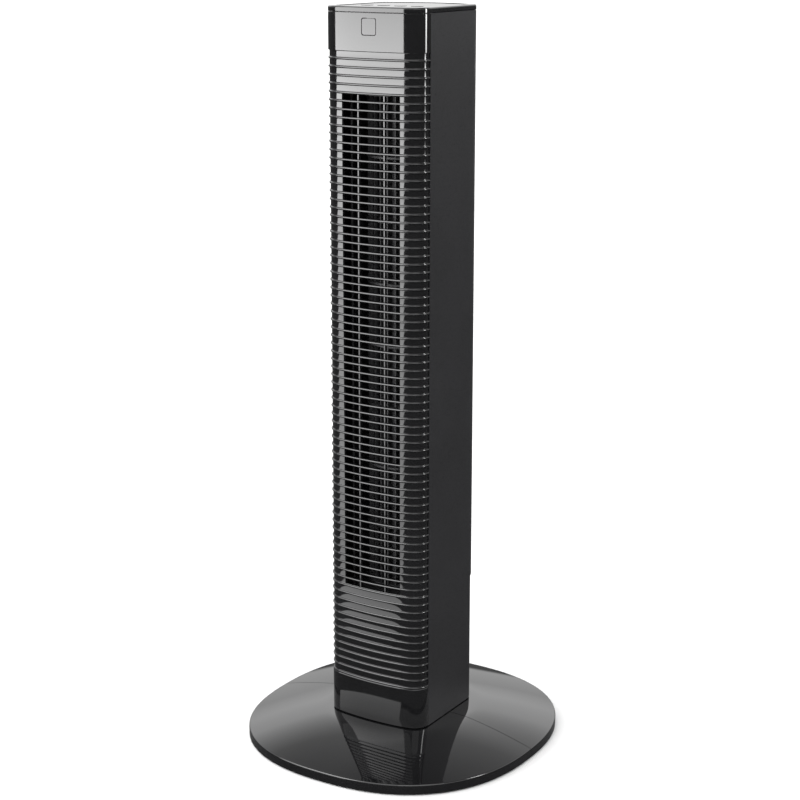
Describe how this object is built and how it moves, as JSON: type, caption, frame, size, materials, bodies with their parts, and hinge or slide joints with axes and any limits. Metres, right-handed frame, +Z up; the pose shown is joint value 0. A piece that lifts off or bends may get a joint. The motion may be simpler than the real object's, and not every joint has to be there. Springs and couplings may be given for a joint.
{
  "type": "tower fan",
  "caption": "Slim tower fan with a ribbed front grille, cross-flow impeller, top buttons and a swivelling stand on a low domed base.",
  "frame": {"origin": "on the floor under the middle of the base", "axes": "+Z up along the tower, -Y the front with the grille, +X the side shell to the right of the grille seen from the front"},
  "size_m": [0.323, 0.332, 0.791],
  "materials": {
    "gloss_black": "high gloss",
    "satin_side": "satin",
    "satin_rear": "satin",
    "dark_plastic": "fine texture",
    "duct_plastic": "smooth",
    "impeller_plastic": "satin",
    "button_plastic": "soft satin",
    "white_plastic": "smooth acetal",
    "rubber": "matte",
    "screw_steel": "zinc plated",
    "zinc_steel": "zinc plated",
    "shaft_steel": "ground",
    "core_iron": "stacked laminations",
    "rotor_metal": "cast cage",
    "copper_wire": "enamelled winding",
    "bronze": "sintered bronze",
    "circuit_board": "solder mask",
    "lens": "frosted lens",
    "smoked_window": "smoked, polished"
  },
  "bodies": {
    "base": {"base_front": "gloss_black", "base_rear": "gloss_black", "rubber_feet": "rubber", "swivel_seat": "dark_plastic", "seat_screws": "screw_steel", "glide_ring": "white_plastic", "pivot_washer": "screw_steel", "pivot_screw": "screw_steel"},
    "tower": {"bottom_cover": "dark_plastic", "oscillation_motor": "zinc_steel", "oscillation_bracket": "zinc_steel", "oscillation_screws": "screw_steel", "front_panel": "gloss_black", "panel_screws": "screw_steel", "left_side_shell": "satin_side", "right_side_shell": "satin_side", "rear_grille": "satin_rear", "rear_lower_cover": "satin_rear", "rear_screws": "screw_steel", "cord_inlet": "rubber", "motor_deck": "dark_plastic", "motor_lower_shield": "zinc_steel", "motor_upper_shield": "zinc_steel", "motor_core": "core_iron", "motor_windings": "copper_wire", "motor_bearings": "bronze", "motor_grommets": "rubber", "motor_screws": "screw_steel", "capacitor": "white_plastic", "upper_frame": "dark_plastic", "upper_bearing": "bronze", "bearing_rubber": "rubber", "bearing_cap": "dark_plastic", "air_duct": "duct_plastic", "duct_tongue": "duct_plastic", "top_cap": "gloss_black", "control_panel": "gloss_black", "indicator_lenses": "lens", "control_board": "circuit_board", "tact_switches": "dark_plastic", "board_screws": "screw_steel", "display_window": "smoked_window", "display_module": "dark_plastic"},
    "crank_body": {"crank": "white_plastic"},
    "impeller_body": {"impeller": "impeller_plastic", "impeller_coupling": "rubber", "stub_shaft": "shaft_steel", "rotor": "rotor_metal", "motor_shaft": "shaft_steel"},
    "power_button_body": {"power_button": "button_plastic"},
    "speed_button_body": {"speed_button": "button_plastic"},
    "timer_button_body": {"timer_button": "button_plastic"},
    "swing_button_body": {"swing_button": "button_plastic"}
  },
  "joints": [
    {"name": "tower_swivel", "type": "hinge", "parent": "base", "child": "tower", "pos_m": [0, 0, 0.0304], "axis": [0, 0, 1], "range_deg": [-30, 30]},
    {"name": "crank_turn", "type": "hinge", "parent": "tower", "child": "crank_body", "pos_m": [0, -0.034, 0.035], "axis": [0, 0, 1], "range_deg": [-90, 90]},
    {"name": "impeller_spin", "type": "hinge", "parent": "tower", "child": "impeller_body", "pos_m": [0, 0.006, 0.44], "axis": [0, 0, 1], "continuous": true},
    {"name": "power_press", "type": "slide", "parent": "tower", "child": "power_button_body", "axis": [0, 0, -1], "range_m": [0, 0.0009], "stiffness_N_per_m": 600, "springref_m": -0.0005},
    {"name": "speed_press", "type": "slide", "parent": "tower", "child": "speed_button_body", "axis": [0, 0, -1], "range_m": [0, 0.0009], "stiffness_N_per_m": 600, "springref_m": -0.0005},
    {"name": "timer_press", "type": "slide", "parent": "tower", "child": "timer_button_body", "axis": [0, 0, -1], "range_m": [0, 0.0009], "stiffness_N_per_m": 600, "springref_m": -0.0005},
    {"name": "swing_press", "type": "slide", "parent": "tower", "child": "swing_button_body", "axis": [0, 0, -1], "range_m": [0, 0.0009], "stiffness_N_per_m": 600, "springref_m": -0.0005}
  ],
  "couplings": [
    {"joint": "crank_turn", "follows": "tower_swivel", "ratio": -3}
  ]
}
